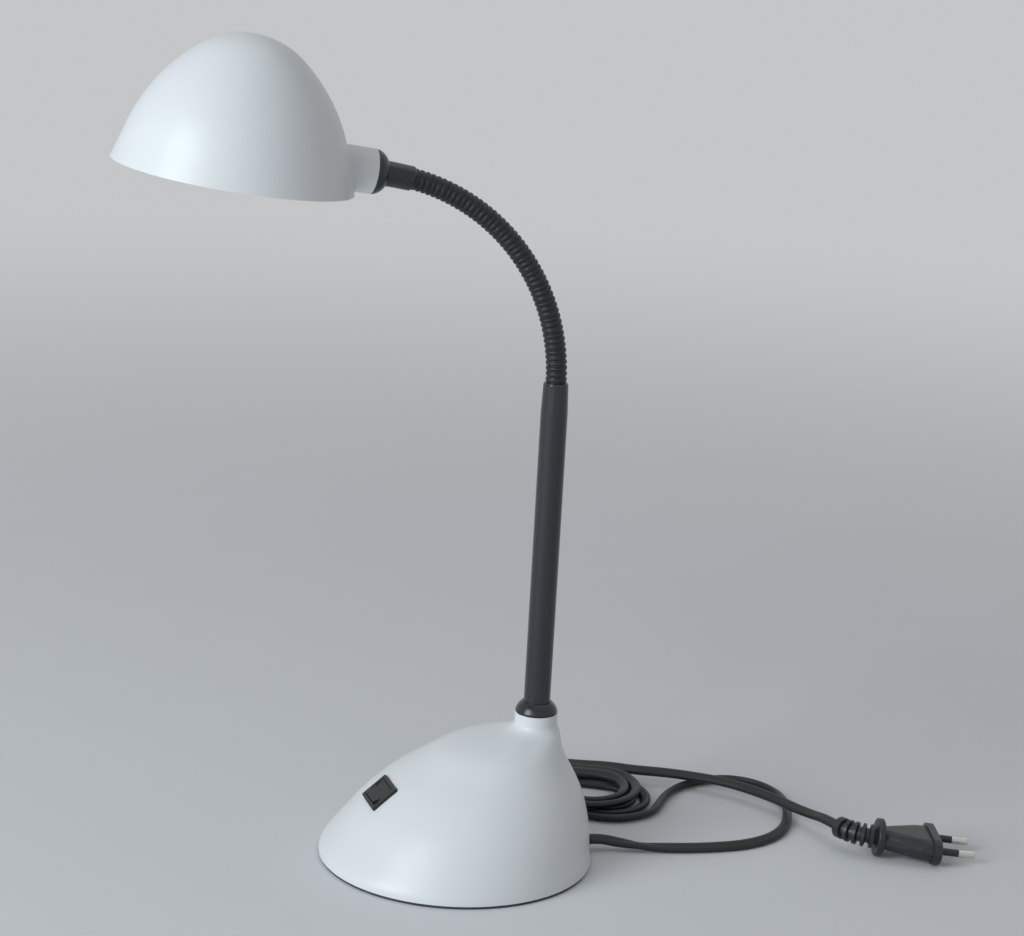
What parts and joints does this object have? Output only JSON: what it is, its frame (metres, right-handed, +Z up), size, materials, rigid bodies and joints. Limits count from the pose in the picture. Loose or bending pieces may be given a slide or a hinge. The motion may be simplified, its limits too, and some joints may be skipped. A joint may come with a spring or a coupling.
{
  "type": "gooseneck desk lamp",
  "caption": "Small desk lamp with a white domed base and shade, a black tube with a bendable ribbed neck, a rocker switch and a corded flat plug.",
  "frame": {"origin": "middle of the foot, on the table", "axes": "+Z up; the head reaches towards -X; the cord leaves the base towards +X"},
  "size_m": [0.4553, 0.2016, 0.4192],
  "materials": {
    "foam": "soft, dark blue-grey",
    "steel_plate": "zinc plated",
    "iron": "rough",
    "zinc": "bright zinc",
    "white_shell": "satin gloss white",
    "black_plastic": "semi-gloss black",
    "switch_black": "fine matt black",
    "black_tube": "semi-gloss black lacquer",
    "neck_rubber": "soft black",
    "cord_black": "satin black",
    "brass": "bright",
    "nickel": "bright nickel",
    "holder_black": "matt black",
    "glass_white": "frosted white",
    "cap_metal": "rolled",
    "glass_black": "dark insulator",
    "block_white": "off-white",
    "lead_white": "matt"
  },
  "bodies": {
    "stand": {"foot_pad": "foam", "base_plate": "steel_plate", "ballast": "iron", "ballast_bolt": "zinc", "ballast_nut": "zinc", "base_screws": "zinc", "base_shell": "white_shell", "switch_body": "switch_black", "switch_tabs": "brass", "lower_ring": "black_plastic", "neck_tube": "black_tube", "lower_nipple": "zinc", "lower_washer": "zinc", "lower_nut": "zinc", "terminal_block": "block_white", "terminal_screws": "zinc", "inner_lead": "lead_white", "switch_wires": "lead_white", "cord_bush": "cord_black", "cord_clamp": "block_white", "clamp_screws": "zinc", "cord_tail": "cord_black", "cord_from_base": "cord_black", "cord_hank": "cord_black", "cord_tie": "cord_black", "cord_to_plug": "cord_black", "plug_boot": "cord_black", "plug_body": "cord_black", "plug_pins": "nickel", "pin_sleeves": "cord_black"},
    "rocker": {"switch_rocker": "switch_black"},
    "neck_01": {"neck_segment_01": "neck_rubber"},
    "neck_02": {"neck_segment_02": "neck_rubber"},
    "neck_03": {"neck_segment_03": "neck_rubber"},
    "neck_04": {"neck_segment_04": "neck_rubber"},
    "neck_05": {"neck_segment_05": "neck_rubber"},
    "neck_06": {"neck_segment_06": "neck_rubber"},
    "neck_07": {"neck_segment_07": "neck_rubber"},
    "neck_08": {"neck_segment_08": "neck_rubber"},
    "neck_09": {"neck_segment_09": "neck_rubber"},
    "neck_10": {"neck_segment_10": "neck_rubber"},
    "neck_11": {"neck_segment_11": "neck_rubber"},
    "neck_12": {"neck_segment_12": "neck_rubber"},
    "neck_13": {"neck_segment_13": "neck_rubber"},
    "neck_14": {"neck_segment_14": "neck_rubber"},
    "neck_15": {"neck_segment_15": "neck_rubber"},
    "head": {"neck_segment_16": "neck_rubber", "head_sleeve": "black_plastic", "head_collar": "black_plastic", "head_nipple": "zinc", "head_washer": "zinc", "head_nut": "zinc", "shade": "white_shell", "lampholder": "holder_black", "lampholder_thread": "brass", "lampholder_contact": "brass", "bulb_cap": "cap_metal", "bulb_tip": "glass_black", "bulb_glass": "glass_white", "head_lead": "lead_white"}
  },
  "joints": [
    {"name": "neck_bend_01", "type": "hinge", "parent": "stand", "child": "neck_01", "pos_m": [0.0398, 0, 0.25], "axis": [0, -1, 0], "range_deg": [-9.5, 8]},
    {"name": "neck_sway_02", "type": "hinge", "parent": "neck_01", "child": "neck_02", "pos_m": [0.03944, 0, 0.25865], "axis": [0.9966, 0, 0.0828], "range_deg": [-7.5, 7.5]},
    {"name": "neck_bend_03", "type": "hinge", "parent": "neck_02", "child": "neck_03", "pos_m": [0.03837, 0, 0.26725], "axis": [0, -1, 0], "range_deg": [-9.5, 8]},
    {"name": "neck_sway_04", "type": "hinge", "parent": "neck_03", "child": "neck_04", "pos_m": [0.03658, 0, 0.27572], "axis": [0.9692, 0, 0.2462], "range_deg": [-7.5, 7.5]},
    {"name": "neck_bend_05", "type": "hinge", "parent": "neck_04", "child": "neck_05", "pos_m": [0.03411, 0, 0.28402], "axis": [0, -1, 0], "range_deg": [-9.5, 8]},
    {"name": "neck_sway_06", "type": "hinge", "parent": "neck_05", "child": "neck_06", "pos_m": [0.03095, 0, 0.29209], "axis": [0.9153, 0, 0.4027], "range_deg": [-7.5, 7.5]},
    {"name": "neck_bend_07", "type": "hinge", "parent": "neck_06", "child": "neck_07", "pos_m": [0.02714, 0, 0.29986], "axis": [0, -1, 0], "range_deg": [-9.5, 8]},
    {"name": "neck_sway_08", "type": "hinge", "parent": "neck_07", "child": "neck_08", "pos_m": [0.02269, 0, 0.3073], "axis": [0.8363, 0, 0.5483], "range_deg": [-7.5, 7.5]},
    {"name": "neck_bend_09", "type": "hinge", "parent": "neck_08", "child": "neck_09", "pos_m": [0.01765, 0, 0.31434], "axis": [0, -1, 0], "range_deg": [-9.5, 8]},
    {"name": "neck_sway_10", "type": "hinge", "parent": "neck_09", "child": "neck_10", "pos_m": [0.01204, 0, 0.32094], "axis": [0.7343, 0, 0.6788], "range_deg": [-7.5, 7.5]},
    {"name": "neck_bend_11", "type": "hinge", "parent": "neck_10", "child": "neck_11", "pos_m": [0.0059, 0, 0.32704], "axis": [0, -1, 0], "range_deg": [-9.5, 8]},
    {"name": "neck_sway_12", "type": "hinge", "parent": "neck_11", "child": "neck_12", "pos_m": [-0.00072, 0, 0.33263], "axis": [0.6122, 0, 0.7907], "range_deg": [-7.5, 7.5]},
    {"name": "neck_bend_13", "type": "hinge", "parent": "neck_12", "child": "neck_13", "pos_m": [-0.00779, 0, 0.33764], "axis": [0, -1, 0], "range_deg": [-9.5, 8]},
    {"name": "neck_sway_14", "type": "hinge", "parent": "neck_13", "child": "neck_14", "pos_m": [-0.01524, 0, 0.34205], "axis": [0.4733, 0, 0.8809], "range_deg": [-7.5, 7.5]},
    {"name": "neck_bend_15", "type": "hinge", "parent": "neck_14", "child": "neck_15", "pos_m": [-0.02303, 0, 0.34583], "axis": [0, -1, 0], "range_deg": [-9.5, 8]},
    {"name": "neck_sway_16", "type": "hinge", "parent": "neck_15", "child": "head", "pos_m": [-0.03111, 0, 0.34895], "axis": [0.3214, 0, 0.9469], "range_deg": [-7.5, 7.5]},
    {"name": "switch_rocker_tilt", "type": "hinge", "parent": "stand", "child": "rocker", "pos_m": [-0.04134, 0, 0.03672], "axis": [0, 1, 0], "range_deg": [-15, 0]}
  ]
}
